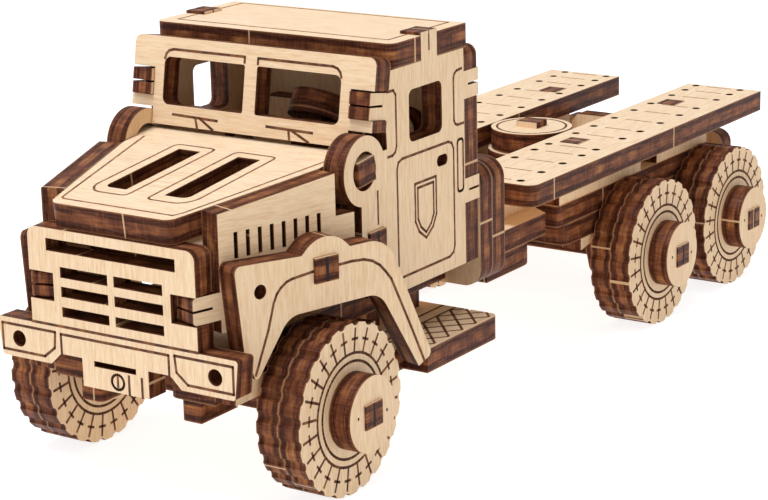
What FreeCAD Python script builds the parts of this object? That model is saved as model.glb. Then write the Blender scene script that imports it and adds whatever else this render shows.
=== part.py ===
import FreeCAD, Part
import Sketcher
import math
import os
from types import SimpleNamespace

# A small six-wheeled truck that is put together from laser-cut 3 mm plywood sheets without glue.
# X runs across the truck, +X is its own left side. It faces -Y and stands on Z = 0.
# The origin is under the middle of its bounding box.

CELLS = (
    ("sheet_thickness", 3.0, "thickness of every plywood sheet"),
    ("play", 0.05, "gap between a tongue and the slot that it is pushed through"),
    ("proud", 0.35, "how far a tongue stands out of its slot"),
    ("nose", -65.95, "Y of the front face of the grille sheet"),
    ("length_to_tail", 132.0, "from the grille face to the end of the planks"),
    ("bonnet_splay", 16.17, "degrees that each bonnet side turns outwards"),
    ("bonnet_half_width", 11.87, "outer face of a bonnet side where it meets the grille face"),
    ("lid_slope", 6.4, "degrees that the bonnet lid rises to the rear"),
    ("hinge_back", 25.4, "lid hinge behind the grille face"),
    ("hinge_height", 36.15, "lid hinge above the ground"),
    ("tongue_width", 3.4, "width of the square tongues and of the axle bars"),
    ("bearing_radius", 2.35, "round hole that a square bar turns in"),
    ("cab_half_width", 17.75, "outer face of a cab side"),
    ("cab_rear", 47.4, "front face of the cab back behind the grille face"),
    ("roof_top", 50.1, "top of the roof"),
    ("screen_rake", 9.65, "degrees that the windscreen leans back"),
    ("tyre_radius", 10.31, "outside of a tyre disc"),
    ("tyre_inner_face", 15.52, "inner face of the inner tyre disc"),
    ("hub_radius", 4.6, "outside of a hub disc"),
    ("front_axle_back", 16.0, "front axle behind the grille face"),
    ("middle_axle_back", 93.8, "middle axle behind the grille face"),
    ("rear_axle_back", 117.0, "rear axle behind the grille face"),
    ("bearing_inner_face", 11.9, "inner face of the sheets that carry the axles"),
    ("deck_bottom", 14.2, "underside of the lower deck sheet"),
    ("plank_inner_edge", 6.1, "inner edge of a plank"),
    ("plank_outer_edge", 18.4, "outer edge of a plank"),
    ("plank_front", 63.0, "front end of the planks behind the grille face"),
    ("disc_back", 94.05, "centre of the turntable behind the grille face"),
    ("disc_radius", 5.83, "outside of the turntable disc"),
)

SIDES = (("left", 1), ("right", -1))
SCALLOPS = 24
SCALLOP_RADIUS = 0.8
SCALLOP_OFFSET = 0.45


class Measure:
    """A length that keeps its value and its formula over the cells of the sheet."""

    def __init__(self, value, formula):
        self.value = value
        self.formula = formula

    def join(self, sign, other, value):
        return Measure(value, f"({self.formula} {sign} {formula_of(other)})")

    def __float__(self):
        return float(self.value)

    def __add__(self, other):
        return self.join("+", other, self.value + float(other))

    def __sub__(self, other):
        return self.join("-", other, self.value - float(other))

    def __mul__(self, other):
        return self.join("*", other, self.value * float(other))

    def __truediv__(self, other):
        return self.join("/", other, self.value / float(other))

    def __neg__(self):
        return self * -1.0

    def __radd__(self, other):
        return self + other

    def __rsub__(self, other):
        return -self + other


def formula_of(length):
    return length.formula if isinstance(length, Measure) else f"{float(length):.5f}"


def fill_sheet(doc):
    """Write the driving dimensions and give back one Measure for each."""
    sheet = doc.addObject("Spreadsheet::Sheet", "sizes")
    measures = {}
    for row, (alias, value, note) in enumerate(CELLS, start=1):
        sheet.set(f"A{row}", alias)
        sheet.set(f"B{row}", str(value))
        sheet.setAlias(f"B{row}", alias)
        sheet.set(f"C{row}", note)
        measures[alias] = Measure(value, f"sizes.{alias}")
    doc.recompute()
    return SimpleNamespace(**measures)


doc = FreeCAD.newDocument("plywood_truck")
size = fill_sheet(doc)
ply = size.sheet_thickness


# ---------------------------------------------------------------- sketches and sheets

def flat_point(point):
    return FreeCAD.Vector(float(point[0]), float(point[1]), 0)


def hold_point(sketch, geometry, end, point):
    """Fix one end of a line, or the centre of a circle, by its two distances."""
    for kind, distance in (("DistanceX", point[0]), ("DistanceY", point[1])):
        rule = sketch.addConstraint(Sketcher.Constraint(kind, -1, 1, geometry, end, float(distance)))
        if isinstance(distance, Measure):
            sketch.setExpression(f"Constraints[{rule}]", distance.formula)


def draw_outline(sketch, corners):
    """Close a loop of straight lines through the corners."""
    ends = corners[1:] + corners[:1]
    lines = [Part.LineSegment(flat_point(a), flat_point(b)) for a, b in zip(corners, ends)]
    numbers = sketch.addGeometry(lines, False)
    joins = [Sketcher.Constraint("Coincident", numbers[step - 1], 2, numbers[step], 1)
             for step in range(len(numbers))]
    sketch.addConstraint(joins)
    for number, corner in zip(numbers, corners):
        hold_point(sketch, number, 1, corner)


def draw_circle(sketch, centre, radius):
    circle = Part.Circle(flat_point(centre), FreeCAD.Vector(0, 0, 1), float(radius))
    number = sketch.addGeometry(circle, False)
    hold_point(sketch, number, 3, centre)
    rule = sketch.addConstraint(Sketcher.Constraint("Radius", number, float(radius)))
    if isinstance(radius, Measure):
        sketch.setExpression(f"Constraints[{rule}]", radius.formula)


def new_sketch(body, name):
    sketch = body.newObject("Sketcher::SketchObject", name)
    plane = next(item for item in body.Origin.OriginFeatures if item.Role == "XY_Plane")
    sketch.AttachmentSupport = [(plane, "")]
    sketch.MapMode = "FlatFace"
    return sketch


def edges_at(shape, corners):
    """Name the edges that run through the sheet at the given corners of its outline."""
    names = []
    for number, edge in enumerate(shape.Edges, start=1):
        tips = [vertex.Point for vertex in edge.Vertexes]
        upright = len(tips) == 2 and math.hypot(tips[0].x - tips[1].x, tips[0].y - tips[1].y) < 0.001
        if upright and any(tips[0].distanceToPoint(FreeCAD.Vector(float(x), float(y), tips[0].z)) < 0.01
                           for x, y in corners):
            names.append(f"Edge{number}")
    return names


def cut_sheet(label, outline, holes=(), circles=(), rounds=(), thick=None):
    """Cut one piece from the sheet: a padded sketch with its slots, holes and rounded corners.

    outline is a list of corners or, for a disc, a (centre, radius) tuple. rounds lists
    (radius, corners) pairs, and each of those corners gets that radius.
    """
    body = doc.addObject("PartDesign::Body", label)
    body.Label = label
    sketch = new_sketch(body, f"{label}_sketch")
    if isinstance(outline, tuple):
        draw_circle(sketch, *outline)
    else:
        draw_outline(sketch, outline)
    for corners in holes:
        draw_outline(sketch, corners)
    for centre, radius in circles:
        draw_circle(sketch, centre, radius)
    pad = body.newObject("PartDesign::Pad", f"{label}_pad")
    pad.Profile = sketch
    pad.setExpression("Length", formula_of(thick or ply))
    doc.recompute()
    last = pad
    for step, (radius, corners) in enumerate(rounds, start=1):
        fillet = body.newObject("PartDesign::Fillet", f"{label}_round_{step}")
        fillet.Base = (last, edges_at(last.Shape, corners))
        fillet.Radius = float(radius)
        if isinstance(radius, Measure):
            fillet.setExpression("Radius", radius.formula)
        doc.recompute()
        last = fillet
    return body


def add_eye(body, centre, radius, bore):
    """Add a round eye to a sheet's edge and bore it through."""
    rim = new_sketch(body, f"{body.Label}_eye_rim")
    draw_circle(rim, centre, radius)
    ring = body.newObject("PartDesign::Pad", f"{body.Label}_eye")
    ring.Profile = rim
    ring.setExpression("Length", ply.formula)
    mouth = new_sketch(body, f"{body.Label}_eye_mouth")
    draw_circle(mouth, centre, bore)
    cut_through(body, mouth, f"{body.Label}_eye_bore")
    doc.recompute()


def cut_through(body, sketch, name):
    pocket = body.newObject("PartDesign::Pocket", name)
    pocket.Profile = sketch
    pocket.Type = "ThroughAll"
    pocket.Reversed = True
    return pocket


def place(body, turn, across, behind, height):
    """Put a body down: behind is measured from the grille face, and the rest from the origin."""
    spots = (across, size.nose + behind, height)
    body.Placement = FreeCAD.Placement(FreeCAD.Vector(*[float(spot) for spot in spots]), turn)
    for axis, spot in zip("xyz", spots):
        if isinstance(spot, Measure):
            body.setExpression(f"Placement.Base.{axis}", spot.formula)
    return body


def axes_turn(first, second):
    """The turn that takes a sketch's own X and Y to the two given directions."""
    return FreeCAD.Rotation(FreeCAD.Vector(*first), FreeCAD.Vector(*second), FreeCAD.Vector(0, 0, 0), "XYZ")


FLAT = axes_turn((1, 0, 0), (0, 1, 0))
SIDEWAYS = axes_turn((0, 1, 0), (0, 0, 1))
CROSSWISE = axes_turn((1, 0, 0), (0, 0, 1))


def lay_flat(body, height, across=0.0, behind=0.0):
    """A level sheet: drawn as (across, behind the grille face), with its underside at height."""
    return place(body, FLAT, across, behind, height)


def stand_across(body, front):
    """A sheet across the truck: drawn as (across, height), with its front face at front."""
    return place(body, CROSSWISE, 0.0, ply + front, 0.0)


def stand_along(body, inner, sign, behind=0.0, height=0.0, thick=None):
    """A sheet along the truck: drawn as (behind, height), with its inner face at inner."""
    across = inner if sign > 0 else -(inner + (thick or ply))
    return place(body, SIDEWAYS, across, behind, height)


def group(label, pieces):
    """Put loose pieces in one node; each stays a solid of its own."""
    together = doc.addObject("Part::Compound", label)
    together.Label = label
    together.Links = pieces


def both_sides(half):
    """Complete an outline that is drawn for +X only, from its top round to its bottom."""
    return half + [(-x, y) for x, y in reversed(half)]


def rectangle(x_low, x_high, y_low, y_high):
    return [(x_low, y_low), (x_high, y_low), (x_high, y_high), (x_low, y_high)]


def block(half, low, high):
    """A rectangle centred on the middle line of the truck."""
    return rectangle(-half, half, low, high)


# ---------------------------------------------------------------- front of the truck

def make_front_plate():
    """Grille and bumper in one sheet, with an open notch each side for a bonnet side's tongue."""
    half = [(12.2, 31.8), (12.2, 26.5), (8.6, 26.5), (8.6, 23.1), (12.2, 23.1), (12.2, 20.1),
            (17.7, 20.1), (17.15, 15.4), (9.65, 15.4), (8.07, 16.85), (4.87, 16.85), (4.87, 13.5)]
    slots = [block(9.45, 29.1, 30.6), block(3.1, 16.1, 16.8)]
    for low, high in ((26.1, 27.4), (23.8, 25.05), (21.4, 22.6)):
        slots += [rectangle(0.45, 7.5, low, high), rectangle(-7.5, -0.45, low, high)]
    lamps = [((14.46 * sign, 17.7), 1.0) for _, sign in SIDES]
    top_corners = [(12.2, 31.8), (-12.2, 31.8)]
    bumper_corners = [(17.7, 20.1), (-17.7, 20.1), (17.15, 15.4), (-17.15, 15.4)]
    body = cut_sheet("front_plate", both_sides(half), slots, lamps,
                     [(1.2, top_corners), (0.4, bumper_corners)])
    stand_across(body, 0.0)


SPLAY = math.radians(float(size.bonnet_splay))


def splayed_turn(sign):
    return axes_turn((sign * math.sin(SPLAY), math.cos(SPLAY), 0), (0, 0, 1))


def stand_splayed(body, sign, inner):
    """A sheet on the turned bonnet side: inner is its inner face, measured out from the bonnet face."""
    shift = inner if sign > 0 else inner + ply
    across = size.bonnet_half_width * sign + shift * (sign * math.cos(SPLAY))
    return place(body, splayed_turn(sign), across, -shift * math.sin(SPLAY), 0.0)


def splayed_spot(along, out):
    """Plan view place of a point on the turned bonnet side of +X."""
    across = size.bonnet_half_width + out * math.cos(SPLAY) + along * math.sin(SPLAY)
    return (across, along * math.cos(SPLAY) - out * math.sin(SPLAY))


BRACE_TONGUE = (14.65, 18.0)
BRACE_HEIGHT = 25.75


def brace_slot():
    start, end = BRACE_TONGUE
    return rectangle(-size.play + start, size.play + end, -size.play + BRACE_HEIGHT, ply + size.play + BRACE_HEIGHT)


def make_bonnet_side(side, sign):
    """Louvred bonnet side: its split tongue reaches through the grille notch."""
    rise = math.sin(math.radians(float(size.lid_slope))) * math.cos(SPLAY)
    front, rear, step, lower = 3.7, 20.4, 23.15, 21.6
    top = 34.92
    outline = [(front, lower), (step, lower), (step, 32.1), (rear, 32.1), (rear, top + rise * rear),
               (front, top + rise * front), (front, 26.4), (-0.1, 26.4), (-0.1, 24.95), (2.6, 24.95),
               (2.6, 24.65), (-0.1, 24.65), (-0.1, 23.2), (front, 23.2)]
    louvres = [rectangle(start - 0.28, start + 0.28, 29.85, 32.9)
               for start in [6.1 + 1.69 * step for step in range(8)]]
    body = cut_sheet(f"bonnet_side_{side}", outline, louvres + [brace_slot()],
                     rounds=[(0.5, [(-0.1, 26.4), (-0.1, 23.2)])])
    stand_splayed(body, sign, -ply)


def make_fender(side, sign):
    """Wheel arch that lies flat on the bonnet side, with a leg in front of the wheel and one behind."""
    arch_front, arch_rear, crown = (10.9, 22.7), (24.3, 22.7), (16.5, 32.6)
    shoulder = (25.5, 29.15)
    outline = [(3.5, 29.9), (4.5, 19.9), (5.9, 16.4), (6.4, 16.4), arch_front, arch_rear, (30.0, 12.5),
               (32.1, 13.6), shoulder, (20.0, 29.15), crown, (13.0, 29.35)]
    body = cut_sheet(f"fender_{side}", outline, [brace_slot()], [((7.0, 26.4), 0.85)],
                     [(3.0, [arch_front, arch_rear]), (4.2, [shoulder, crown]),
                      (0.8, [(3.5, 29.9), (32.1, 13.6)])])
    stand_splayed(body, sign, 0.0)


def make_fender_brace():
    """Level sheet inside the bonnet, whose tongues hold the bonnet sides and the fenders."""
    start, end = BRACE_TONGUE
    inner = -ply - size.play
    outer = ply + size.proud
    half = [splayed_spot(10.0, inner), splayed_spot(start, inner), splayed_spot(start, outer),
            splayed_spot(end, outer), splayed_spot(end, inner), splayed_spot(21.0, inner)]
    body = cut_sheet("fender_brace", both_sides(half))
    lay_flat(body, BRACE_HEIGHT)


def make_hood_lid():
    """Bonnet lid with two long slots, drawn about its hinge line: its tongues turn in the cab's eyes."""
    slope = math.radians(float(size.lid_slope))
    half_tongue = size.tongue_width / 2
    inside_cab = size.cab_half_width - ply - 0.15
    front = (-size.hinge_back + 0.5) / math.cos(slope)
    front_half = 8.7
    widening = math.tan(SPLAY) * math.cos(slope)
    corner = front + (inside_cab - front_half) / widening
    reach = size.cab_half_width + size.proud
    half = [(front_half, front), (inside_cab, corner), (inside_cab, -half_tongue), (reach, -half_tongue),
            (reach, half_tongue)]
    slots = [rectangle(2.8, 6.1, -18.5, -4.4), rectangle(-6.1, -2.8, -18.5, -4.4)]
    body = cut_sheet("hood_lid", both_sides(half), slots,
                     rounds=[(1.5, [(front_half, front), (-front_half, front)]),
                             (1.0, [(6.1, -18.5), (-6.1, -18.5)])])
    turn = axes_turn((1, 0, 0), (0, math.cos(slope), math.sin(slope)))
    drop = ply / 2
    place(body, turn, 0.0, size.hinge_back + drop * math.sin(slope), size.hinge_height - drop * math.cos(slope))


# ---------------------------------------------------------------- chassis

def axle_lobe(back):
    """Corners of the rounded drop that carries an axle, from its rear edge to its front edge."""
    low = size.tyre_radius - 3.7
    return [(back + 6.0, 13.5), (back + 3.7, low), (back - 3.7, low), (back - 6.0, 13.5)]


def lobe_rounds(back):
    low = size.tyre_radius - 3.7
    return (2.2, [(back + 3.7, low), (back - 3.7, low)])


def make_front_carrier(side, sign):
    """Sheet inside a front wheel: the axle turns in its round hole."""
    back = size.front_axle_back
    outline = [(3.0, 16.0), (31.0, 16.0), (31.0, 13.5)] + axle_lobe(back) + [(3.0, 13.5)]
    body = cut_sheet(f"front_carrier_{side}", outline, (), [((back, size.tyre_radius), size.bearing_radius)],
                     [lobe_rounds(back)])
    stand_along(body, size.bearing_inner_face, sign)


def make_front_plates():
    """A small level plate inside each front carrier, with a strip under it."""
    wide = size.bearing_inner_face - size.play
    pieces = []
    for side, sign in SIDES:
        inner_corner = (5.0 * sign, 3.1)
        outline = [(5.0 * sign, 12.4), inner_corner, (wide * sign, 3.1), (wide * sign, 12.4)]
        plate = cut_sheet(f"front_axle_plate_{side}", outline, rounds=[(1.5, [inner_corner])])
        strip_corner = (5.9 * sign, 4.2)
        outline = [(5.9 * sign, 11.0), strip_corner, (8.9 * sign, 4.2), (8.9 * sign, 11.0)]
        strip = cut_sheet(f"front_strip_{side}", outline, rounds=[(0.8, [strip_corner])])
        pieces += [lay_flat(plate, 12.95), lay_flat(strip, -ply + 12.95)]
    group("front_axle_plates", pieces)


def make_chassis_plate():
    """Level sheet from the grille to the rear box, under the cab."""
    lay_flat(cut_sheet("chassis_plate", block(12.4, 3.0, 50.8)), 16.0)


def make_steps():
    """One wide sheet forms both steps, and two short cross sheets hang it from the chassis plate."""
    half = [(18.6, 28.5), (18.6, 31.4), (22.1, 31.4), (22.1, 48.0), (18.0, 48.0), (18.0, 47.2),
            (17.4, 47.2), (17.4, 48.0)]
    body = cut_sheet("step_plate", both_sides(half), rounds=[(1.2, [(22.1, 48.0), (-22.1, 48.0)])])
    lay_flat(body, -ply + 13.4)
    group("step_hangers", [stand_across(cut_sheet(f"step_hanger_{number}", block(11.5, 13.4, 16.0)), front)
                           for number, front in enumerate((34.0, 43.0), start=1)])


# ---------------------------------------------------------------- cab

SCREEN_RAKE = math.radians(float(size.screen_rake))
SCREEN_LEAN = math.tan(SCREEN_RAKE)
SCREEN_FOOT = 38.4
SCREEN_FOOT_BACK = 26.34


def screen_front(height):
    """Distance of the windscreen's front face behind the grille face at a height."""
    return SCREEN_FOOT_BACK + SCREEN_LEAN * (height - SCREEN_FOOT)


def screen_rear(height):
    return screen_front(height) + float(ply) / math.cos(SCREEN_RAKE) + 0.1


def screen_tongue():
    """Corners of a cab side's split tongue, square to the windscreen, from its root up and back."""
    low, high, slit = 41.95, 45.1, 43.5
    drop = 3.5 * SCREEN_LEAN
    reach = -0.4
    return [(screen_rear(low - drop), low - drop), (screen_front(low) + reach, low),
            (screen_front(slit) + reach, slit - 0.12), (screen_front(slit) + 2.2, slit - 0.5),
            (screen_front(slit) + 2.2, slit - 0.2), (screen_front(slit) + reach, slit + 0.12),
            (screen_front(high) + reach, high), (screen_rear(high - drop), high - drop)]


def split_tongue_back(low, high):
    """Corners of a split tongue that points to the rear, from its upper edge down."""
    root = size.cab_rear - size.play
    tip = size.cab_rear + ply + size.proud
    middle = (low + high) / 2
    return [(root, high), (tip, high), (tip, middle + 0.15), (tip - 2.4, middle + 0.15),
            (tip - 2.4, middle - 0.15), (tip, middle - 0.15), (tip, low), (root, low)]


REAR_TONGUES = ((40.6, 44.1), (27.4, 30.5))
ROOF_TAB = (37.9, 41.4)


def make_cab_side(side, sign):
    """Cab side with its door: the eye at its front is the bearing of the bonnet lid."""
    roof_under = size.roof_top - ply - size.play
    tab_front, tab_rear = ROOF_TAB
    tab_top = size.roof_top + size.proud
    tab_middle = (tab_front + tab_rear) / 2
    outline = [(30.2, 37.8)] + screen_tongue() + [(screen_rear(46.9), roof_under),
               (tab_front, roof_under), (tab_front, tab_top), (tab_middle - 0.15, tab_top),
               (tab_middle - 0.15, tab_top - 2.4), (tab_middle + 0.15, tab_top - 2.4),
               (tab_middle + 0.15, tab_top), (tab_rear, tab_top), (tab_rear, roof_under),
               (size.cab_rear - size.play, roof_under)]
    for low, high in REAR_TONGUES:
        outline += split_tongue_back(low, high)
    outline += [(size.cab_rear - size.play, 19.65), (33.0, 19.65), (24.6, 24.5),
                (24.6, 35.0), (26.0, 37.8)]
    window = rectangle(35.0, 42.3, 37.6, 44.0)
    tongue_hole = rectangle(25.8 - size.play, 29.2 + size.play, 25.6 - size.play, ply + 25.6 + size.play)
    handle = rectangle(41.0, 43.4, 33.3, 34.7)
    body = cut_sheet(f"cab_side_{side}", outline, [window, tongue_hole, handle],
                     rounds=[(0.9, window), (0.65, handle), (2.0, [(24.6, 24.5)])])
    add_eye(body, (size.hinge_back, size.hinge_height), 4.2, size.bearing_radius)
    stand_along(body, size.cab_half_width - ply, sign)


def make_scuttle_brace():
    """Level sheet behind the bonnet, with a tongue through each cab side."""
    inside = size.cab_half_width - ply - size.play
    reach = size.cab_half_width + size.proud
    half = [(inside, 25.0), (inside, 25.8), (reach, 25.8), (reach, 29.2), (inside, 29.2), (inside, 33.0)]
    lay_flat(cut_sheet("scuttle_brace", both_sides(half)), 25.6)


def make_steering():
    """Steering wheel on a leaning square column that stands on the scuttle brace."""
    lean = math.radians(30)
    turn = axes_turn((1, 0, 0), (0, math.cos(lean), -math.sin(lean)))
    across, foot, foot_height, reach = 5.0, 28.2, 29.4, 11.4
    centre = (0.0, 0.0)
    column = cut_sheet("steering_column", square_hole(centre), thick=size.sheet_thickness + reach)
    place(column, turn, across, foot, foot_height)
    openings = [rectangle(-1.9, 1.9, 1.95, 2.9), rectangle(-1.9, 1.9, -2.9, -1.95)]
    rim = cut_sheet("steering_rim", (centre, 3.7), openings + [square_hole(centre)])
    place(rim, turn, across, reach * math.sin(lean) + foot, reach * math.cos(lean) + foot_height)
    group("steering_wheel", [rim, column])


def make_windscreen():
    """Raked windscreen, notched each side for the cab sides' tongues."""
    stretch = math.cos(SCREEN_RAKE)

    def up(height):
        return (height - SCREEN_FOOT) / stretch

    notch = size.cab_half_width - ply - size.play * 2
    outer = size.cab_half_width + 0.25
    foot = size.cab_half_width - ply - 0.1
    half = [(outer, up(49.06)), (outer, up(45.25)), (notch, up(45.25)), (notch, up(41.8)), (outer, up(41.8)),
            (outer, up(40.45)), (foot, up(40.45)), (foot, 0.0)]
    panes = [rectangle(0.91, 13.22, up(40.86), up(46.66)), rectangle(-13.22, -0.91, up(40.86), up(46.66))]
    outer_corners = [(x, up(z)) for x in (-13.22, 13.22) for z in (40.86, 46.66)]
    inner_corners = [(x, up(z)) for x in (-0.91, 0.91) for z in (40.86, 46.66)]
    body = cut_sheet("windscreen", both_sides(half), panes,
                     rounds=[(1.0, [(outer, up(49.06)), (-outer, up(49.06))]), (0.9, outer_corners),
                             (0.3, inner_corners)])
    turn = axes_turn((1, 0, 0), (0, math.sin(SCREEN_RAKE), math.cos(SCREEN_RAKE)))
    place(body, turn, 0.0, ply * math.cos(SCREEN_RAKE) + SCREEN_FOOT_BACK,
          -ply * math.sin(SCREEN_RAKE) + SCREEN_FOOT)


def make_roof():
    tab_front, tab_rear = ROOF_TAB
    outer = size.cab_half_width
    notch = size.cab_half_width - ply - size.play
    gap = size.play
    half = [(outer, 31.7), (outer, tab_front - gap), (notch, tab_front - gap), (notch, tab_rear + gap),
            (outer, tab_rear + gap), (outer, 48.0)]
    body = cut_sheet("roof", both_sides(half), rounds=[(1.2, [(outer, 31.7), (-outer, 31.7)])])
    lay_flat(body, size.roof_top - ply)


def make_cab_back():
    outer = size.cab_half_width
    notch = size.cab_half_width - ply - size.play
    top = size.roof_top - ply - size.play
    half = [(outer, top)]
    for low, high in REAR_TONGUES:
        low_edge, high_edge = low - size.play, high + size.play
        half += [(outer, high_edge), (notch, high_edge), (notch, low_edge), (outer, low_edge)]
    half += [(outer, 19.65)]
    body = cut_sheet("cab_back", both_sides(half), rounds=[(1.3, [(outer, top), (-outer, top)])])
    stand_across(body, size.cab_rear)


def make_cab_inside():
    """Floor, seat and seat back, which show through the windows."""
    inside = size.cab_half_width - ply - size.play
    lay_flat(cut_sheet("cab_floor", block(inside, 30.0, size.cab_rear - size.play)), 19.0)
    lay_flat(cut_sheet("seat", block(inside, 35.5, 43.9)), 28.0)
    back = cut_sheet("seat_back", block(12.5, 22.0, 39.0), rounds=[(2.5, [(12.5, 39.0), (-12.5, 39.0)])])
    stand_across(back, size.cab_rear - ply - 0.4)


def make_rear_box():
    """Two rounded sheets behind the cab."""
    half = size.cab_half_width
    corners = block(half, 15.5, 31.3)
    for name, front in (("rear_box_inner", 50.8), ("rear_box_outer", 53.8)):
        stand_across(cut_sheet(name, corners, rounds=[(2.5, corners)]), front)


def make_trays():
    """Two stacked level sheets between the rear box and the wheels."""
    upper = [(-15.0, 56.8), (15.0, 56.8), (15.0, 72.0), (12.0, 74.0), (-12.0, 74.0), (-15.0, 72.0)]
    lay_flat(cut_sheet("tray_upper", upper), size.deck_bottom + ply)
    lower = [(-15.0, 56.8), (15.0, 56.8), (15.0, 68.0), (8.0, 73.5), (-8.0, 73.5), (-15.0, 68.0)]
    body = cut_sheet("tray_lower", lower, rounds=[(4.0, [(15.0, 68.0), (-15.0, 68.0)])])
    lay_flat(body, size.deck_bottom)


# ---------------------------------------------------------------- rear frame

RAIL_INNER = 8.7
RAIL_TONGUES = ((87.0, 90.2), (116.4, 119.6))
RAIL_REAR = 120.6
FRAME_REAR = 127.4


def make_rail(side, sign):
    """Rail on edge under a plank, with two tongues up through it."""
    bottom = size.deck_bottom + ply * 2
    top = bottom + ply
    outline = [(56.8, bottom), (RAIL_REAR, bottom), (RAIL_REAR, top)]
    for front, rear in reversed(RAIL_TONGUES):
        outline += [(rear, top), (rear, top + ply + 0.1), (front, top + ply + 0.1), (front, top)]
    stand_along(cut_sheet(f"rail_{side}", outline + [(56.8, top)]), RAIL_INNER, sign)


def make_rail_spacers():
    """Four short strips on edge outside the rails, over the wheels."""
    bottom = size.deck_bottom + ply * 2
    strips = []
    for side, sign in SIDES:
        for end, front, rear in (("front", 76.0, 99.5), ("rear", 104.5, RAIL_REAR)):
            strip = cut_sheet(f"rail_spacer_{end}_{side}", rectangle(front, rear, bottom, bottom + ply))
            strips.append(stand_along(strip, size.bearing_inner_face, sign))
    group("rail_spacers", strips)


def make_decks():
    """Two stacked level sheets over the rear axles, bored for the turntable post."""
    bore = [((0.0, size.disc_back), size.bearing_radius)]
    for name, front, rear, height in (("deck_lower", 77.5, FRAME_REAR, size.deck_bottom),
                                      ("deck_upper", 75.5, RAIL_REAR, size.deck_bottom + ply)):
        corners = block(15.0, front, rear)
        lay_flat(cut_sheet(name, corners, (), bore, [(1.0, corners[:2])]), height)


def make_bogie_bearing(side, sign):
    """Sheet inside the rear wheels: both rear axles turn in its round holes."""
    rear, middle = size.rear_axle_back, size.middle_axle_back
    top = size.deck_bottom
    low = size.tyre_radius - 3.7
    outline = [(82.0, top), (FRAME_REAR, top)] + axle_lobe(rear) + axle_lobe(middle) + [(82.0, 12.5)]
    holes = [((back, size.tyre_radius), size.bearing_radius) for back in (middle, rear)]
    rounded = [(back + shift, low) for back in (middle, rear) for shift in (3.7, -3.7)]
    body = cut_sheet(f"bogie_bearing_{side}", outline, (), holes, [(2.2, rounded)])
    stand_along(body, size.bearing_inner_face, sign)


def make_cross_sheets():
    """Cross sheets that keep the rear frame square."""
    inside = size.bearing_inner_face - size.play
    deck_top = size.deck_bottom + ply * 2
    stand_across(cut_sheet("bogie_cross", block(inside, 8.0, size.deck_bottom)), 103.9)
    chamfered = [(-6.0, deck_top), (6.0, deck_top), (6.0, 22.0), (5.0, 23.2), (-5.0, 23.2), (-6.0, 22.0)]
    stand_across(cut_sheet("rear_cross", chamfered), 116.5)
    tail = [(8.0, 17.4), (8.0, 20.1), (14.3, 20.1), (14.3, 13.0)]
    ears = [(14.3, 20.1), (-14.3, 20.1)]
    stand_across(cut_sheet("tail_board", both_sides(tail), rounds=[(2.0, ears)]), FRAME_REAR)


def make_plank(side, sign):
    """Deck plank with two slots for the rail's tongues."""
    inner, outer = size.plank_inner_edge * sign, size.plank_outer_edge * sign
    front, rear = size.plank_front, size.length_to_tail
    corners = [(inner, front), (outer, front), (outer, rear), (inner, rear)]
    gap = size.play
    slot_edges = sorted((RAIL_INNER * sign, (RAIL_INNER + ply) * sign), key=float)
    slots = [rectangle(slot_edges[0] - gap, slot_edges[1] + gap, start - gap, end + gap)
             for start, end in RAIL_TONGUES]
    body = cut_sheet(f"plank_{side}", corners, slots, rounds=[(1.5, [corners[1]]), (0.6, [corners[0]])])
    lay_flat(body, size.deck_bottom + ply * 3)


# ---------------------------------------------------------------- turntable

def square_hole(centre):
    half = size.tongue_width / 2
    across, along = centre
    return rectangle(across - half, across + half, along - ply / 2, along + ply / 2)


def make_turntable():
    """A fixed base disc, and a disc on a square post that turns in the decks."""
    centre = (0.0, size.disc_back)
    base_bottom = size.deck_bottom + ply * 2
    base = cut_sheet("turntable_base", (centre, 6.3), (), [(centre, size.bearing_radius)])
    lay_flat(base, base_bottom)
    disc = cut_sheet("turntable_disc", (centre, size.disc_radius), [square_hole(centre)])
    lay_flat(disc, base_bottom + ply + 0.05)
    post = cut_sheet("turntable_post", square_hole(centre), thick=size.sheet_thickness * 4 + 0.9)
    lay_flat(post, size.deck_bottom)


# ---------------------------------------------------------------- wheels

def make_tyre_disc(label, back, inner, sign):
    """Scalloped disc with a square hole for the axle bar."""
    centre = (0.0, 0.0)
    body = cut_sheet(label, (centre, size.tyre_radius), [square_hole(centre)])
    sketch = new_sketch(body, f"{label}_scallop")
    half_step = math.pi / SCALLOPS
    reach = size.tyre_radius + SCALLOP_OFFSET
    draw_circle(sketch, (reach * math.cos(half_step), reach * math.sin(half_step)), SCALLOP_RADIUS)
    pocket = cut_through(body, sketch, f"{label}_pocket")
    pattern = body.newObject("PartDesign::PolarPattern", f"{label}_scallops")
    pattern.Originals = [pocket]
    pattern.Axis = (sketch, ["N_Axis"])
    pattern.Angle = 360
    pattern.Occurrences = SCALLOPS
    body.Tip = pattern
    doc.recompute()
    stand_along(body, inner, sign, back, size.tyre_radius)


def make_wheel_set(name, back):
    """Axle bar with, on each end, two tyre discs and a hub disc pushed on."""
    inner = size.tyre_inner_face
    middle = inner + ply
    outer = middle + ply
    half_length = outer + ply + 0.25
    bar = cut_sheet(f"{name}_axle", square_hole((0.0, 0.0)), thick=half_length * 2)
    place(bar, SIDEWAYS, -half_length, back, size.tyre_radius)
    hubs = []
    for side, sign in SIDES:
        make_tyre_disc(f"{name}_tyre_inner_{side}", back, inner, sign)
        make_tyre_disc(f"{name}_tyre_outer_{side}", back, middle, sign)
        hub = cut_sheet(f"{name}_hub_{side}", ((0.0, 0.0), size.hub_radius), [square_hole((0.0, 0.0))])
        hubs.append(stand_along(hub, outer, sign, back, size.tyre_radius))
    group(f"{name}_hubs", hubs)


# ---------------------------------------------------------------- build, check and write

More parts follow.
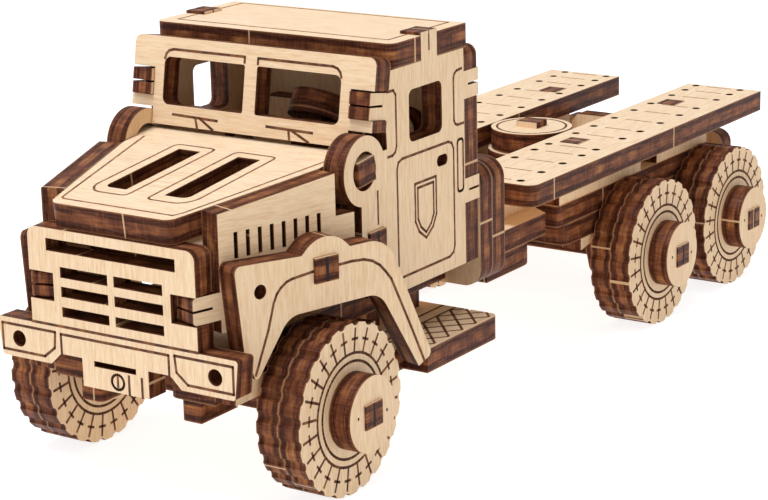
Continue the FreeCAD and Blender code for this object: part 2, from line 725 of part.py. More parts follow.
def build():
    make_front_plate()
    for side, sign in SIDES:
        make_bonnet_side(side, sign)
        make_fender(side, sign)
        make_front_carrier(side, sign)
        make_cab_side(side, sign)
        make_rail(side, sign)
        make_bogie_bearing(side, sign)
        make_plank(side, sign)
    make_fender_brace()
    make_hood_lid()
    make_front_plates()
    make_chassis_plate()
    make_steps()
    make_scuttle_brace()
    make_steering()
    make_windscreen()
    make_roof()
    make_cab_back()
    make_cab_inside()
    make_rear_box()
    make_trays()
    make_rail_spacers()
    make_decks()
    make_cross_sheets()
    make_turntable()
    for name, back in (("front", size.front_axle_back), ("middle", size.middle_axle_back),
                       ("rear", size.rear_axle_back)):
        make_wheel_set(name, back)
    doc.recompute()


def check():
    for item in doc.Objects:
        if "Invalid" in item.State or "Error" in item.State:
            raise RuntimeError(f"{item.Name} failed: {item.State}")
    for piece in nodes():
        count = len(piece.Links) if piece.TypeId == "Part::Compound" else 1
        if piece.Shape.isNull() or not piece.Shape.isValid() or len(piece.Shape.Solids) != count:
            raise RuntimeError(f"{piece.Label} is not {count} valid solid(s)")


def nodes():
    """The groups, and every body that is in no group."""
    groups = [item for item in doc.Objects if item.TypeId == "Part::Compound"]
    grouped = {piece.Name for item in groups for piece in item.Links}
    loose = [item for item in doc.Objects if item.TypeId == "PartDesign::Body" and item.Name not in grouped]
    return loose + groups


def write():
    os.makedirs("parts", exist_ok=True)
    for piece in nodes():
        piece.Shape.exportStep(f"parts/{piece.Label}.step")
    print(len(nodes()), "sub-parts written")


build()
check()
write()
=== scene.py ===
# %% [markdown]
# # A plywood truck from a flat-pack puzzle
# The real truck is cut by a laser from 3 mm birch plywood and pushed together without glue.
# Every piece has two clean birch faces, and edges that the laser has burnt brown.
# The CAD frame already holds each piece at its true size, so this script only adds the looks:
# the wood itself, the lines that the laser has scorched into the faces, and the studio.

import math

import bmesh
import bpy
from mathutils import Matrix, Vector


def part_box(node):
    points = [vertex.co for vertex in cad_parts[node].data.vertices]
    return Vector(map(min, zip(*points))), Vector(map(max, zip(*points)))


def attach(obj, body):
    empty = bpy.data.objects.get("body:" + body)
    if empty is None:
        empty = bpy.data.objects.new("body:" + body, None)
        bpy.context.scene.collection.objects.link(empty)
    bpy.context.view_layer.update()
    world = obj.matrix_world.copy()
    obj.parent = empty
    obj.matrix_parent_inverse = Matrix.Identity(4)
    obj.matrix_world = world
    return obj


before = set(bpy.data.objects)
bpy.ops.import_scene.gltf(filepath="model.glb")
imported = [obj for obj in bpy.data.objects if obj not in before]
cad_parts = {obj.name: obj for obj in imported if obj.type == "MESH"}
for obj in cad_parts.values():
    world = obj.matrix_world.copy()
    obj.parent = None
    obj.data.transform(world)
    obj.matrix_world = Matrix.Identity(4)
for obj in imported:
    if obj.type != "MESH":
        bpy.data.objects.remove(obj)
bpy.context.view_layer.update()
print("nodes in the frame:", len(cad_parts))

# %% [markdown]
# ## Where the sheets lie
# Each piece is one flat sheet, so a place on it is easiest to give in the sheet's own directions:
# `along` and `up` in its face, and `out` square to it. A Matrix keeps the three together and
# turns a pattern drawn in millimetres into places on the truck.

# %% Sheet directions
MM = 0.001
PLY = 3.0
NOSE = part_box("front_plate")[0][1] / MM
LID_SLOPE = math.radians(6.4)
SPLAY = math.radians(16.17)
SCREEN_RAKE = math.radians(9.65)
SIDES = (("left", 1), ("right", -1))


def lie(along, up, out):
    """Rows of the matrix are the sheet's own directions, so it turns object places into sheet places."""
    return Matrix((Vector(along), Vector(up), Vector(out)))


FLAT = lie((1, 0, 0), (0, 1, 0), (0, 0, 1))
ACROSS = lie((1, 0, 0), (0, 0, 1), (0, -1, 0))
ALONG = lie((0, 1, 0), (0, 0, 1), (1, 0, 0))
LID = lie((1, 0, 0), (0, math.cos(LID_SLOPE), math.sin(LID_SLOPE)),
          (0, -math.sin(LID_SLOPE), math.cos(LID_SLOPE)))
SCREEN = lie((1, 0, 0), (0, math.sin(SCREEN_RAKE), math.cos(SCREEN_RAKE)),
             (0, -math.cos(SCREEN_RAKE), math.sin(SCREEN_RAKE)))


def splayed(sign):
    return lie((sign * math.sin(SPLAY), math.cos(SPLAY), 0), (0, 0, 1),
               (math.cos(SPLAY), -sign * math.sin(SPLAY), 0))


def lowest_depth(node, directions):
    """How far out the back face of a sheet is, in millimetres, on either side for a pair."""
    depths = [vertex.co.dot(directions[2]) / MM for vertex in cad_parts[node].data.vertices]
    return min(abs(depth) for depth in depths) if directions is ALONG else min(depths)


def top_of(node):
    """Height of a node's highest face in millimetres."""
    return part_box(node)[1][2] / MM


def left_of(node):
    """How far a node reaches to the truck's left, in millimetres."""
    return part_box(node)[1][0] / MM


print("nose of the truck at", round(NOSE, 2), "mm, roof at", round(top_of("roof"), 2), "mm")


# %% [markdown]
# ## Colours
# Colours are written as the sRGB hex values that a picker shows, and one function turns them
# into the linear light that the shader works in.

# %% Colour helper
def linear(code):
    parts = [int(code[place:place + 2], 16) / 255 for place in (1, 3, 5)]
    steps = [part / 12.92 if part <= 0.04045 else ((part + 0.055) / 1.055) ** 2.4 for part in parts]
    return (*steps, 1.0)


def add(tree, kind, settings=None, **links):
    """Add a node: settings are its own values, and links are values or sockets for its inputs."""
    made = tree.nodes.new(kind)
    for name, value in (settings or {}).items():
        setattr(made, name, value)
    for name, value in links.items():
        key = int(name[1:]) if name[0] == "i" and name[1:].isdigit() else name.replace("_", " ")
        socket = made.inputs[key]
        if isinstance(value, bpy.types.NodeSocket):
            tree.links.new(value, socket)
        else:
            socket.default_value = value
    return made


def ramp(tree, factor, *stops):
    made = add(tree, "ShaderNodeValToRGB", Fac=factor)
    bands = made.color_ramp.elements
    while len(bands) < len(stops):
        bands.new(0.5)
    for band, (place, colour) in zip(bands, stops):
        band.position = place
        band.color = linear(colour)
    return made.outputs["Color"]


# %% [markdown]
# ## Birch plywood with burnt edges
# Birch veneer is pale cream with a fine, straight grain and small darker flecks, and it is
# nearly matt. The laser chars the cut: the two outer veneers go dark brown, and the middle one
# stays lighter. One material can draw both, because it knows how deep in the sheet a point lies.
# The pattern is drawn in millimetres in the sheet's own directions, so the third number is the
# depth: 0 and 3 are the faces, and all that is between them is a cut edge. The depth is folded
# back at each face, so a node that holds several sheets gets the same pattern in every one.

# %% Place on the sheet
def scaled(tree, place, factors):
    return add(tree, "ShaderNodeVectorMath", {"operation": "MULTIPLY"}, i0=place, i1=factors).outputs[0]


def sheet_place(tree, directions, base, seed):
    """The depth in the sheet, and a place in millimetres that is shifted for every piece."""
    place = add(tree, "ShaderNodeTexCoord").outputs["Object"]
    if directions is ALONG:
        place = add(tree, "ShaderNodeVectorMath", {"operation": "ABSOLUTE"}, i0=place).outputs[0]
    sheet = add(tree, "ShaderNodeMapping", Vector=place, Scale=(1 / MM,) * 3,
                Rotation=directions.to_euler(), Location=(0.0, 0.0, -base)).outputs[0]
    depth = add(tree, "ShaderNodeSeparateXYZ", Vector=sheet).outputs["Z"]
    shifted = add(tree, "ShaderNodeVectorMath", {"operation": "ADD"}, i0=sheet,
                  i1=(37.0 * seed, 19.0 * seed, 0.0)).outputs[0]
    return depth, shifted


# %% [markdown]
# ### The faces
# Fibres are about 0.3 mm wide and 3 mm long, so the noise that draws them is stretched ten times
# along the grain. Shorter and darker flecks and broad, faint clouds lie over them, as on a veneer
# that is peeled from a log. Grain runs up most of the upright sheets, and across the others.

# %% Veneer
def veneer_colour(tree, shifted, upright):
    """The face colour, and the fibres for the relief."""
    long_way = (1.0, 0.1, 0.5) if upright else (0.1, 1.0, 0.5)
    fibre = add(tree, "ShaderNodeTexNoise", Vector=scaled(tree, shifted, long_way), Scale=3.6,
                Detail=4.0, Roughness=0.6).outputs["Fac"]
    veneer = ramp(tree, fibre, (0.28, "#d9b184"), (0.45, "#e5c196"), (0.56, "#eac99f"),
                  (0.75, "#f0d4ad"))
    fleck_place = scaled(tree, shifted, tuple(3.0 * part for part in long_way))
    fleck = add(tree, "ShaderNodeTexNoise", Vector=fleck_place, Scale=3.0, Detail=2.0).outputs["Fac"]
    fleck_share = add(tree, "ShaderNodeMapRange", Value=fleck, From_Min=0.62, From_Max=0.75,
                      To_Min=0.0, To_Max=0.35).outputs[0]
    flecked = add(tree, "ShaderNodeMix", {"data_type": "RGBA"}, i0=fleck_share, i6=veneer,
                  i7=linear("#c39a6b")).outputs[2]
    cloud = add(tree, "ShaderNodeTexNoise", Vector=shifted, Scale=0.07, Detail=2.0).outputs["Fac"]
    cloud_share = add(tree, "ShaderNodeMapRange", Value=cloud, From_Min=0.35, From_Max=0.7,
                      To_Min=0.0, To_Max=0.22).outputs[0]
    face = add(tree, "ShaderNodeMix", {"data_type": "RGBA"}, i0=cloud_share, i6=flecked,
               i7=linear("#dcb98d")).outputs[2]
    return face, fibre


# %% [markdown]
# ### The cut edges
# Streaks run along the layers, crossed by thin ones where the beam has pulsed, about 0.3 mm
# apart. The middle veneer is lighter and blotchy, and its border wanders. A thin warm rim where
# the cut meets a face is a painted highlight, for the light that the corner of the sheet catches.

# %% Burnt edge
def burnt_colour(tree, shifted, ply_share):
    """The edge colour with its painted highlight rim, and the beam's pulses for the relief."""
    pulse = add(tree, "ShaderNodeTexNoise", Vector=scaled(tree, shifted, (1.0, 1.0, 0.14)), Scale=3.4,
                Detail=4.0, Roughness=0.7).outputs["Fac"]
    layer = add(tree, "ShaderNodeTexNoise", Vector=scaled(tree, shifted, (0.2, 0.2, 2.5)), Scale=1.2,
                Detail=4.0, Roughness=0.65).outputs["Fac"]
    burn = add(tree, "ShaderNodeMix", i0=0.35, i2=layer, i3=pulse).outputs[0]
    patch = add(tree, "ShaderNodeTexNoise", Vector=scaled(tree, shifted, (1.0, 1.0, 0.4)), Scale=0.42,
                Detail=3.0).outputs["Fac"]
    browned = add(tree, "ShaderNodeMix", i0=0.45, i2=burn, i3=patch).outputs[0]
    char = ramp(tree, burn, (0.36, "#27120b"), (0.5, "#4c2718"), (0.6, "#6d3f28"), (0.72, "#966039"))
    core = ramp(tree, browned, (0.36, "#482517"), (0.48, "#724128"), (0.57, "#985d37"),
                (0.68, "#bd864d"))
    wander = add(tree, "ShaderNodeTexNoise", Vector=shifted, Scale=0.35, Detail=1.0).outputs["Fac"]
    wandered = add(tree, "ShaderNodeMath", {"operation": "MULTIPLY_ADD"}, i0=wander, i1=0.5,
                   i2=ply_share).outputs[0]
    core_share = add(tree, "ShaderNodeMapRange", Value=wandered, From_Min=1.05, From_Max=1.3,
                     To_Min=0.0, To_Max=0.85).outputs[0]
    burnt = add(tree, "ShaderNodeMix", {"data_type": "RGBA"}, i0=core_share, i6=char, i7=core).outputs[2]
    # Painted highlight: a lighter, warmer band on the edge next to each face, for the light that the
    # sheet's corner catches.
    painted_rim_highlight = add(tree, "ShaderNodeMapRange", Value=ply_share, From_Min=0.08, From_Max=0.25,
                    To_Min=0.6, To_Max=0.0).outputs[0]
    edge_with_painted_rim = add(tree, "ShaderNodeMix", {"data_type": "RGBA"}, i0=painted_rim_highlight, i6=burnt,
                 i7=linear("#9c6540")).outputs[2]
    return edge_with_painted_rim, pulse


# %% [markdown]
# ### The bridges
# Small bridges hold a piece in its board until it is pushed out. Each leaves a pale line across
# the whole edge, 0.2 to 0.3 mm wide. A sheet has one every 24 mm one way and every 34 mm the
# other, which a fraction of a running length gives without a list of places.

# %% Bridges
BRIDGES_PER_MM = (0.041, 0.029, 0.0)
BRIDGE_SHARE = 0.009


def bridged(tree, shifted, edge):
    run = add(tree, "ShaderNodeVectorMath", {"operation": "DOT_PRODUCT"}, i0=shifted,
              i1=BRIDGES_PER_MM).outputs["Value"]
    beat = add(tree, "ShaderNodeMath", {"operation": "FRACT"}, i0=run).outputs[0]
    bridge = add(tree, "ShaderNodeMath", {"operation": "LESS_THAN"}, i0=beat, i1=BRIDGE_SHARE).outputs[0]
    bridge_share = add(tree, "ShaderNodeMath", {"operation": "MULTIPLY"}, i0=bridge, i1=0.75).outputs[0]
    return add(tree, "ShaderNodeMix", {"data_type": "RGBA"}, i0=bridge_share, i6=edge,
               i7=linear("#dfb687")).outputs[2]


# %% [markdown]
# ### The whole sheet
# The faces are matt, with the soft sheen of sanded wood. A burnt edge is a little smoother, but
# soot mirrors hardly anything, so its specular level is low. The relief follows the fibres on a
# face and the pulses on an edge, and is a tenth of a millimetre at most.

# %% The plywood material
FACE_EDGE = 0.01


def birch_ply(name, directions, base, seed, upright):
    material = bpy.data.materials.new(name)
    material.use_nodes = True
    tree = material.node_tree
    tree.nodes.clear()
    depth, shifted = sheet_place(tree, directions, base, seed)
    ply_share = add(tree, "ShaderNodeMath", {"operation": "PINGPONG"}, i0=depth, i1=PLY / 2).outputs[0]
    face, fibre = veneer_colour(tree, shifted, upright)
    edge_with_painted_rim, pulse = burnt_colour(tree, shifted, ply_share)
    edge = bridged(tree, shifted, edge_with_painted_rim)

    inside = add(tree, "ShaderNodeMath", {"operation": "GREATER_THAN"}, i0=ply_share,
                 i1=FACE_EDGE).outputs[0]
    colour = add(tree, "ShaderNodeMix", {"data_type": "RGBA"}, i0=inside, i6=face, i7=edge).outputs[2]
    rough = add(tree, "ShaderNodeMapRange", Value=inside, To_Min=0.62, To_Max=0.42).outputs[0]
    relief = add(tree, "ShaderNodeMix", i0=inside, i2=fibre, i3=pulse).outputs[0]
    bump = add(tree, "ShaderNodeBump", Height=relief, Strength=0.35, Distance=0.12 * MM).outputs[0]
    shine = add(tree, "ShaderNodeMapRange", Value=inside, To_Min=0.55, To_Max=0.08).outputs[0]
    shader = add(tree, "ShaderNodeBsdfPrincipled", Base_Color=colour, Roughness=rough, Normal=bump,
                 Specular_IOR_Level=shine)
    add(tree, "ShaderNodeOutputMaterial", Surface=shader.outputs[0])
    return material


# %% [markdown]
# ## Which way each sheet lies
# A list per direction is enough, because the script measures the depth of each sheet itself.

# %% Sort the sheets
LEVEL = ["chassis_plate", "cab_floor", "seat", "scuttle_brace", "fender_brace", "roof", "step_plate",
         "front_axle_plates", "tray_upper", "tray_lower", "deck_upper", "deck_lower",
         "plank_left", "plank_right", "turntable_base", "turntable_disc"]
CROSSING = ["front_plate", "cab_back", "seat_back", "rear_box_inner", "rear_box_outer", "bogie_cross",
            "rear_cross", "tail_board", "turntable_post"]
LENGTHWISE = [f"{piece}_{side}" for side, _ in SIDES
              for piece in ("cab_side", "front_carrier", "rail", "bogie_bearing")]
LENGTHWISE += [f"{axle}_tyre_{layer}_{side}" for axle in ("front", "middle", "rear")
               for layer in ("inner", "outer") for side, _ in SIDES]

sheets = {node: FLAT for node in LEVEL}
sheets.update({node: ACROSS for node in CROSSING})
sheets.update({node: ALONG for node in LENGTHWISE})
for side, sign in SIDES:
    sheets[f"bonnet_side_{side}"] = splayed(sign)
    sheets[f"fender_{side}"] = splayed(sign)
sheets["hood_lid"] = LID
sheets["windscreen"] = SCREEN

COLUMN_LEAN = math.radians(30)
sheets["steering_wheel"] = lie((1, 0, 0), (0, math.cos(COLUMN_LEAN), -math.sin(COLUMN_LEAN)),
                               (0, math.sin(COLUMN_LEAN), math.cos(COLUMN_LEAN)))
print("single sheets:", len(sheets))

# %% [markdown]
# The nodes that are left are the hub discs, the short strips beside the rails, the step hangers
# and the axle bars, which are strips whose sheet lies level.

# %% Give every node its plywood
for seed, node in enumerate(sorted(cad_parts)):
    directions = sheets.get(node)
    if directions is None:
        directions = ACROSS if node == "step_hangers" else (FLAT if node.endswith("_axle") else ALONG)
    base = lowest_depth(node, directions)
    upright = not node.startswith(("bonnet", "hood", "windscreen", "roof", "scuttle", "fender_brace"))
    plywood = birch_ply(f"birch plywood {node}", directions, base, seed, upright)
    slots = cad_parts[node].data.materials
    slots.clear()
    slots.append(plywood)
print("plywood materials:", sum(name.startswith("birch") for name in bpy.data.materials.keys()))

# %% [markdown]
# ## Lines scorched by the laser
# At low power the laser only scorches a line about 0.3 mm wide. Such lines draw the door, the
# lamps, the tyre treads and the nail heads. They have no depth that a finger would find, so each
# is a run of very thin strips laid on the face: straight runs are cheap, and the line stays
# exactly as wide as the beam. On the lid, the roof and the planks the lines are painted a lighter
# brown, as painted light for the stronger light that falls on these tops.
# The shade in the gap between the halves of a split tongue is painted the same way, as a nearly black line.
# A drawing is made in millimetres in the sheet's own directions.

# %% Scorched line material
BEAM = 0.33


# Makes the scorched lines, and also the painted shade of the slits and the lighter painted-light copy of
# the scorch for tops.
def scorched(name, *stops):
    material = bpy.data.materials.new(name)
    material.use_nodes = True
    tree = material.node_tree
    tree.nodes.clear()
    place = add(tree, "ShaderNodeTexCoord").outputs["Object"]
    power = add(tree, "ShaderNodeTexNoise", Vector=place, Scale=900.0, Detail=2.0).outputs["Fac"]
    burn = add(tree, "ShaderNodeBsdfPrincipled", Base_Color=ramp(tree, power, *stops), Roughness=0.85)
    add(tree, "ShaderNodeOutputMaterial", Surface=burn.outputs[0])
    return material


scorch = scorched("scorched line", (0.35, "#4a2611"), (0.5, "#653719"), (0.7, "#8a552c"))
# Painted shade: the dark inside of a slit, drawn as a nearly black line on the face.
gap_shade = scorched("painted shade in tongue slits", (0.35, "#0d0603"), (0.5, "#160b06"), (0.7, "#20110a"))
# Painted light: a lighter copy of the scorch for lines on tops that catch the most light.
lit_top_scorch = scorched("scorched line painted lighter on tops", (0.35, "#6b3f20"), (0.5, "#855430"), (0.7, "#a06f43"))
print("line finishes:", scorch.name, "|", lit_top_scorch.name, "|", gap_shade.name)


# %% [markdown]
# ### Drawing on a sheet
# A drawing is a list of paths, and a path is a list of points. A curve is a run of short straight
# pieces. One matrix carries the drawing to the face that it belongs on, so the same paths serve
# the left and the right side.

# %% Drawing helpers
def circle(centre, radius, steps=40):
    return [(centre[0] + radius * math.cos(2 * math.pi * step / steps),
             centre[1] + radius * math.sin(2 * math.pi * step / steps)) for step in range(steps + 1)]


def rounded(corners, radius, steps=4):
    """A closed outline with each corner turned into a short curve."""
    path = []
    for before, corner, after in zip(corners[-1:] + corners[:-1], corners, corners[1:] + corners[:1]):
        corner = Vector(corner)
        start = corner + (Vector(before) - corner).normalized() * radius
        end = corner + (Vector(after) - corner).normalized() * radius
        for step in range(steps + 1):
            share = step / steps
            near_start, near_corner, near_end = (1 - share) ** 2, 2 * share * (1 - share), share ** 2
            path.append(tuple(start * near_start + corner * near_corner + end * near_end))
    return path + path[:1]


def mirrored(paths):
    return paths + [[(-x, y) for x, y in path] for path in paths]


def onto(directions, origin):
    """From a drawing in millimetres to places on a face whose origin is given in millimetres."""
    return Matrix.Scale(MM, 4) @ Matrix.Translation(origin) @ directions.transposed().to_4x4()


def engrave(name, body, faces, width=BEAM, finish=scorch):
    """Faces is a list of (matrix, paths)."""
    lines = bmesh.new()
    for face, paths in faces:
        for path in paths:
            for start, end in zip(path, path[1:]):
                run = Vector(end) - Vector(start)
                middle = Matrix.Translation(((start[0] + end[0]) / 2, (start[1] + end[1]) / 2, 0))
                turn = Matrix.Rotation(math.atan2(run.y, run.x), 4, "Z")
                strip = Matrix.Diagonal((run.length + 0.6 * width, width, 0.03, 1))
                bmesh.ops.create_cube(lines, size=1, matrix=face @ middle @ turn @ strip)
    mesh = bpy.data.meshes.new(name)
    lines.to_mesh(mesh)
    lines.free()
    mesh.materials.append(finish)
    piece = bpy.data.objects.new(name, mesh)
    bpy.context.scene.collection.objects.link(piece)
    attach(piece, body)
    print(name, "strips:", len(mesh.polygons) // 6)


# %% [markdown]
# ### Nose
# A seam under the grille slots, an outline round each lamp, a middle panel, and the hook plate
# with its screw.

# %% Grille and bumper lines
lamp_line = [(9.0, 17.4), (8.8, 19.35), (17.0, 19.35), (17.0, 16.15), (10.6, 16.15), (9.0, 17.4)]
nose_lines = [[(-12.2, 20.21), (12.2, 20.21)],
              [(-7.95, 16.8), (-7.95, 19.25), (7.95, 19.25), (7.95, 16.8)],
              circle((0.34, 14.78), 0.9, 20), [(0.34, 14.2), (0.34, 15.36)],
              [(2.0, 13.5), (2.0, 15.8)], [(3.9, 13.5), (3.9, 15.8)]]
engrave("lines_front_plate", "frame", [(onto(ACROSS, (0, NOSE, 0)), nose_lines + mirrored([lamp_line]))])

# %% [markdown]
# ### Bonnet lid
# A border just inside the edge, and a rounded frame round each of the two slots. The origin of
# the drawing is the hinge, on the top face of the lid.

# %% Lid lines
HINGE_BACK, HINGE_HEIGHT = 25.4, 36.15
HINGE = Vector((0, NOSE + HINGE_BACK, HINGE_HEIGHT)) + Vector(LID[2]) * (PLY / 2)
border = [(13.5, 23.5), (8.44, 2.4), (7.9, 2.0), (-8.0, 2.0), (-8.6, 3.0), (-10.7, 10.8), (-13.9, 23.3)]
border = [(-x, (y - HINGE_BACK) / math.cos(LID_SLOPE)) for x, y in border]
slot_frame = rounded([(1.5, -20.2), (6.2, -20.2), (7.5, -18.6), (7.5, -3.0), (1.5, -3.0)], 0.9)
# The lid's lines use the lighter copy of the scorch, painted light for a top.
engrave("lines_hood_lid", "hood", [(onto(LID, HINGE), [border] + mirrored([slot_frame]))], width=0.3,
        finish=lit_top_scorch)

# %% [markdown]
# ### Windscreen
# A seal above each pane, and a wiper on its two arms below it.

# %% Windscreen lines
FOOT_HEIGHT = 38.4
SCREEN_FOOT = (0, NOSE + 26.34, FOOT_HEIGHT)
rise = 1 / math.cos(SCREEN_RAKE)
seals = mirrored([[(1.0, 46.9), (1.0, 47.6), (11.9, 47.6), (12.6, 47.4), (13.0, 47.0), (13.2, 46.4)]])
wipers = [[(-11.5, 39.75), (-4.6, 39.6)], [(-8.0, 39.7), (-7.6, 38.45)], [(-7.4, 39.7), (-5.2, 38.45)],
          [(2.8, 39.7), (9.6, 39.6)], [(6.1, 39.6), (6.3, 38.45)], [(6.5, 39.6), (9.1, 38.45)]]
screen_lines = [[(x, (z - FOOT_HEIGHT) * rise) for x, z in path] for path in seals + wipers]
engrave("lines_windscreen", "frame", [(onto(SCREEN, SCREEN_FOOT), screen_lines)])

# %% [markdown]
# ### Cab sides
# The door is a rounded outline with a plain shield on it. Other lines follow the tongues of the
# windscreen and of the back wall.

# %% Door lines
door = [(33.1, 21.4), (43.6, 21.4), (44.5, 21.8), (44.8, 22.6), (44.8, 34.9), (44.4, 35.7), (43.6, 36.0),
        (33.4, 36.0), (32.5, 35.7), (32.2, 34.9), (32.2, 23.0)]
shield = [(36.0, 32.3), (40.7, 32.3), (40.7, 27.6), (39.9, 26.2), (38.35, 25.1), (36.8, 26.2),
          (36.0, 27.6), (36.0, 32.3)]
inner_shield = [(36.6, 31.7), (40.1, 31.7), (40.1, 27.8), (39.5, 26.7), (38.35, 25.8), (37.2, 26.7),
                (36.6, 27.8), (36.6, 31.7)]
rear_tongue = [(47.2, 37.7), (45.8, 37.7), (45.3, 37.9), (45.0, 38.4), (45.0, 43.7), (45.2, 44.2),
               (45.7, 44.5), (46.9, 44.6)]
front_tongue = [(30.4, 44.6), (31.7, 44.6), (32.2, 44.0), (32.2, 37.8), (31.9, 37.1), (31.3, 36.8),
                (30.3, 36.8)]
handrail = rounded([(45.7, 29.2), (47.0, 29.2), (47.0, 35.8), (45.7, 35.8)], 0.5)
hinge_line = [(28.0, 29.2), (28.0, 33.2)]
side_lines = [door, shield, rear_tongue, front_tongue, handrail, hinge_line, inner_shield]
side_lines = [[(NOSE + y, z) for y, z in path] for path in side_lines]
for side, sign in SIDES:
    outside = (sign * left_of("cab_side_left"), 0, 0)
    engrave(f"lines_cab_side_{side}", "frame", [(onto(ALONG, outside), side_lines)])

# %% [markdown]
# ### Fenders
# One line follows the arch about a millimetre inside its edge. The tongues that come through the
# fender and the cab side show the slit that lets their two halves squeeze together.

# %% Fender lines
arch = [(5.95, 16.84), (7.95, 21.8), (8.8, 24.7), (9.3, 25.7), (9.9, 26.3), (10.7, 26.8), (11.5, 27.0),
        (14.5, 27.25), (20.2, 27.35), (22.0, 27.2), (23.2, 26.8), (24.3, 26.1), (25.1, 25.25), (26.0, 24.1),
        (27.3, 21.2), (29.1, 17.15), (30.9, 12.9)]
FENDER_FOOT = 11.87
TONGUE_PROUD = 0.36
for side, sign in SIDES:
    directions = splayed(sign)
    outside = Vector((sign * FENDER_FOOT, NOSE, 0)) + sign * PLY * Vector(directions[2])
    engrave(f"lines_fender_{side}", "frame", [(onto(directions, outside), [arch])])
    tongue_end = outside + sign * TONGUE_PROUD * Vector(directions[2])
    # The shade inside the tongue's slit is painted as a nearly black line.
    fender_slit = [(16.33, 25.95), (16.33, 28.55)]
    engrave(f"slit_fender_brace_{side}", "frame", [(onto(directions, tongue_end), [fender_slit])],
            width=0.42, finish=gap_shade)
    scuttle_end = (sign * left_of("scuttle_brace"), 0, 0)
    # The shade inside this tongue's slit is painted as a nearly black line too.
    scuttle_slit = [(NOSE + 27.5, 25.8), (NOSE + 27.5, 28.4)]
    engrave(f"slit_scuttle_brace_{side}", "frame", [(onto(ALONG, scuttle_end), [scuttle_slit])],
            width=0.38, finish=gap_shade)

# %% [markdown]
# ### Roof and planks
# The roof has a plain border. Each plank has rows of nail heads with a dash between them, one
# row per board that it imitates, and the rows are a little uneven, as nailed boards are.

# %% Roof line
roof_line = [(-15.8, 33.8), (15.8, 33.8), (15.8, 47.1), (-15.8, 47.1), (-15.8, 33.8)]
roof_line = [[(x, NOSE + y) for x, y in roof_line]]
# The roof line uses the lighter copy of the scorch, painted light for a top.
engrave("lines_roof", "frame", [(onto(FLAT, (0, 0, top_of("roof"))), roof_line)], finish=lit_top_scorch)

# %% Plank lines
BOARD_ROWS = (64.9, 70.3, 76.0, 81.3, 85.3, 93.0, 98.3, 104.5, 110.6, 116.0, 122.8, 127.3, 131.0)
dashes = mirrored([[(9.8, NOSE + row), (13.9, NOSE + row)] for row in BOARD_ROWS])
nails = mirrored([circle((x, NOSE + row), 0.28, 10) for row in BOARD_ROWS for x in (7.9, 15.4)])
# The plank lines and nail heads use the lighter copy of the scorch, painted light for a top.
plank_top = onto(FLAT, (0, 0, top_of("plank_left")))
engrave("lines_planks", "frame", [(plank_top, dashes)], width=0.25, finish=lit_top_scorch)
engrave("nail_heads", "frame", [(plank_top, nails)], width=0.56, finish=lit_top_scorch)

# %% [markdown]
# ### Steps
# A step has a diamond grip outside two long lines. The slanting lines are drawn past the ends
# of the sheet and then cut off there, which is simpler than working out where each one stops.

# %% Step grip
GRIP_INSIDE, GRIP_OUTSIDE = 15.9, 21.5
GRIP_PITCH, GRIP_CROSSING = 3.15, 6.1
GRIP_RISE = 1.09 * (GRIP_OUTSIDE - GRIP_INSIDE)
END_GAP = 0.2
grip_lines = [[(13.9, NOSE + 33.0), (13.9, NOSE + 48.0)], [(15.74, NOSE + 32.0), (15.74, NOSE + 48.0)]]
for number in range(-2, 5):
    falling = NOSE + 40.1 + GRIP_PITCH * number
    rising = falling - GRIP_CROSSING
    grip_lines.append([(GRIP_INSIDE, falling), (GRIP_OUTSIDE, falling - GRIP_RISE)])
    grip_lines.append([(GRIP_INSIDE, rising), (GRIP_OUTSIDE, rising + GRIP_RISE)])
step_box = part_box("step_plate")
front_end, rear_end = step_box[0][1] / MM + END_GAP, step_box[1][1] / MM - END_GAP


def clipped(path):
    """Keep the part of a line that lies on the step, or None where it misses the step."""
    (x0, y0), (x1, y1) = path
    shares = sorted([0.0, 1.0] + [(limit - y0) / (y1 - y0) for limit in (front_end, rear_end)])
    low, high = shares[1], shares[2]
    if low == high or not front_end < y0 + (y1 - y0) * (low + high) / 2 < rear_end:
        return None
    return [(x0 + (x1 - x0) * share, y0 + (y1 - y0) * share) for share in (low, high)]


grip_lines = [line for line in map(clipped, grip_lines) if line]
step_top = onto(FLAT, (0, 0, top_of("step_plate")))
engrave("lines_step_plate", "frame", [(step_top, mirrored(grip_lines))], width=0.35)

# %% [markdown]
# ### Turntable
# One ring near the edge of the disc. It rides on the turntable, so it turns with it.

# %% Turntable ring
disc_top = onto(FLAT, (0, NOSE + 94.05, top_of("turntable_disc")))
engrave("lines_turntable_disc", "turntable", [(disc_top, [circle((0, 0), 5.0)])])

# %% [markdown]
# ### Tyres and hubs
# Two rings mark the rim. Between the rim and the scallops stand 24 short treads, each crossed by
# a dash. A hub has two dots, and the end of the square axle shows the slit that lets it squeeze
# into the hub.

# %% Wheel lines
TREADS = 24
treads = [circle((0, 0), 6.75, 64), circle((0, 0), 5.79, 64)]
for tread in range(TREADS):
    angle = 2 * math.pi * (tread + 0.5) / TREADS
    ray, cross = Vector((math.cos(angle), math.sin(angle))), Vector((-math.sin(angle), math.cos(angle)))
    treads.append([tuple(ray * 7.0), tuple(ray * 9.6)])
    treads.append([tuple(ray * 8.4 - cross * 0.55), tuple(ray * 8.4 + cross * 0.55)])
hub_marks = [[(-2.95, 0.3), (-2.85, 0.3)], [(2.85, -0.3), (2.95, -0.3)]]


def on_wheels(centre, faces_out, paths):
    """The same paths on the left and right wheel, once for each distance from the middle."""
    return [(onto(ALONG, (sign * out, *centre)), paths) for _, sign in SIDES for out in faces_out]


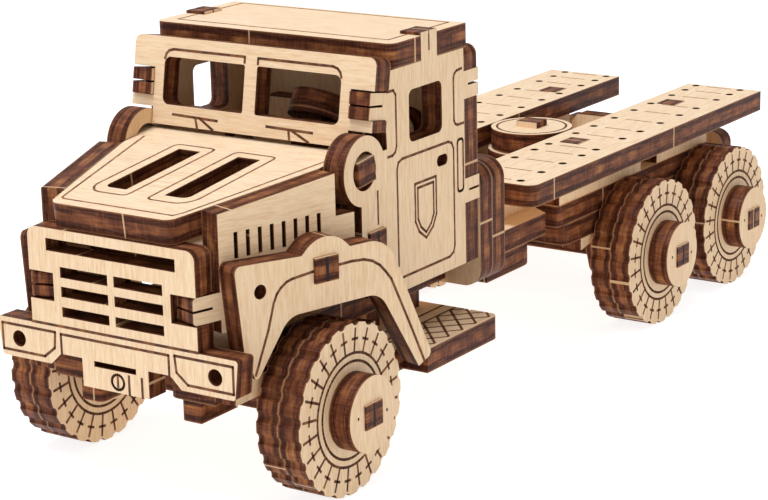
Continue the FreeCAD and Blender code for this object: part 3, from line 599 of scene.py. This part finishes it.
axle_slit = [[(0, -1.3), (0, 1.3)]]
tyre_faces = (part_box("front_tyre_inner_left")[0][0] / MM, left_of("front_tyre_outer_left"))
for axle in ("front", "middle", "rear"):
    low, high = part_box(f"{axle}_axle")
    centre = ((low[1] + high[1]) / 2 / MM, (low[2] + high[2]) / 2 / MM)
    faces = on_wheels(centre, tyre_faces, treads)
    dots = on_wheels(centre, [left_of("front_hubs")], hub_marks)
    slits = on_wheels(centre, [left_of(f"{axle}_axle")], axle_slit)
    engrave(f"lines_{axle}_tyres", f"{axle}_wheels", faces)
    # The shade in the axle's slit is painted as a nearly black line; the hub's dots share that near-black
    # finish.
    engrave(f"marks_{axle}_hubs", f"{axle}_wheels", dots + slits, width=0.35, finish=gap_shade)

# %% [markdown]
# ## Studio
# The truck stands on a back-lit sheet of white acrylic, as small goods do for a catalogue, so the
# ground is white and keeps only a trace of shadow. The sky is an even white. One broad, slightly
# cool lamp stands high in front: tops are brightest, fronts come next, and the truck's left side
# stays in a warm half shade.

# %% Table
bpy.context.scene.view_settings.view_transform = "Standard"
table = bpy.data.objects.new("table", bpy.data.meshes.new("table"))
top = bmesh.new()
bmesh.ops.create_grid(top, x_segments=1, y_segments=1, size=6.0)
top.to_mesh(table.data)
top.free()
bpy.context.scene.collection.objects.link(table)
acrylic = bpy.data.materials.new("back-lit acrylic")
acrylic.use_nodes = True
shader = acrylic.node_tree.nodes["Principled BSDF"]
shader.inputs["Base Color"].default_value = linear("#b0b0b0")
shader.inputs["Roughness"].default_value = 1.0
shader.inputs["Specular IOR Level"].default_value = 0.0
shader.inputs["Emission Color"].default_value = linear("#ffffff")
shader.inputs["Emission Strength"].default_value = 0.85
table.data.materials.append(acrylic)
print("table", round(table.dimensions.x), "m across")

# %% Sky and lamp
sky = bpy.data.worlds.new("white sky")
bpy.context.scene.world = sky
sky.use_nodes = True
sky.node_tree.nodes["Background"].inputs["Color"].default_value = linear("#ffffff")
sky.node_tree.nodes["Background"].inputs["Strength"].default_value = 0.56

light = bpy.data.lights.new("key", "AREA")
light.shape = "DISK"
light.size = 0.5
light.energy = 10.8
light.color = linear("#dbe8ff")[:3]
key = bpy.data.objects.new("key", light)
key.location = Vector((-0.14, -0.3, 0.95))
key.rotation_euler = (-key.location).to_track_quat("-Z", "Y").to_euler()
bpy.context.scene.collection.objects.link(key)
print("lamp", round(key.location.length, 2), "m away,", light.size, "m across")

# %% [markdown]
# ## Camera
# A long lens keeps the truck's lines nearly parallel. It stands to the front left of the truck,
# a little above it, and leans by about a degree.

# %% Camera
AZIMUTH = math.radians(34.1)
ELEVATION = math.radians(15.47)
LEAN = math.radians(-1.32)
sight = Vector((-math.sin(AZIMUTH) * math.cos(ELEVATION), math.cos(AZIMUTH) * math.cos(ELEVATION),
                -math.sin(ELEVATION)))
lens = bpy.data.cameras.new("camera")
lens.lens = 111.1
lens.sensor_width = 36.0
lens.clip_start = 0.01
camera = bpy.data.objects.new("camera", lens)
camera.location = (0.16981, -0.2615, 0.10084)
camera.rotation_mode = "QUATERNION"
camera.rotation_quaternion = sight.to_track_quat("-Z", "Y") @ Matrix.Rotation(LEAN, 3, "Z").to_quaternion()
bpy.context.scene.collection.objects.link(camera)
bpy.context.scene.camera = camera
print("camera at", tuple(round(part, 3) for part in camera.location), "lens", lens.lens, "mm")
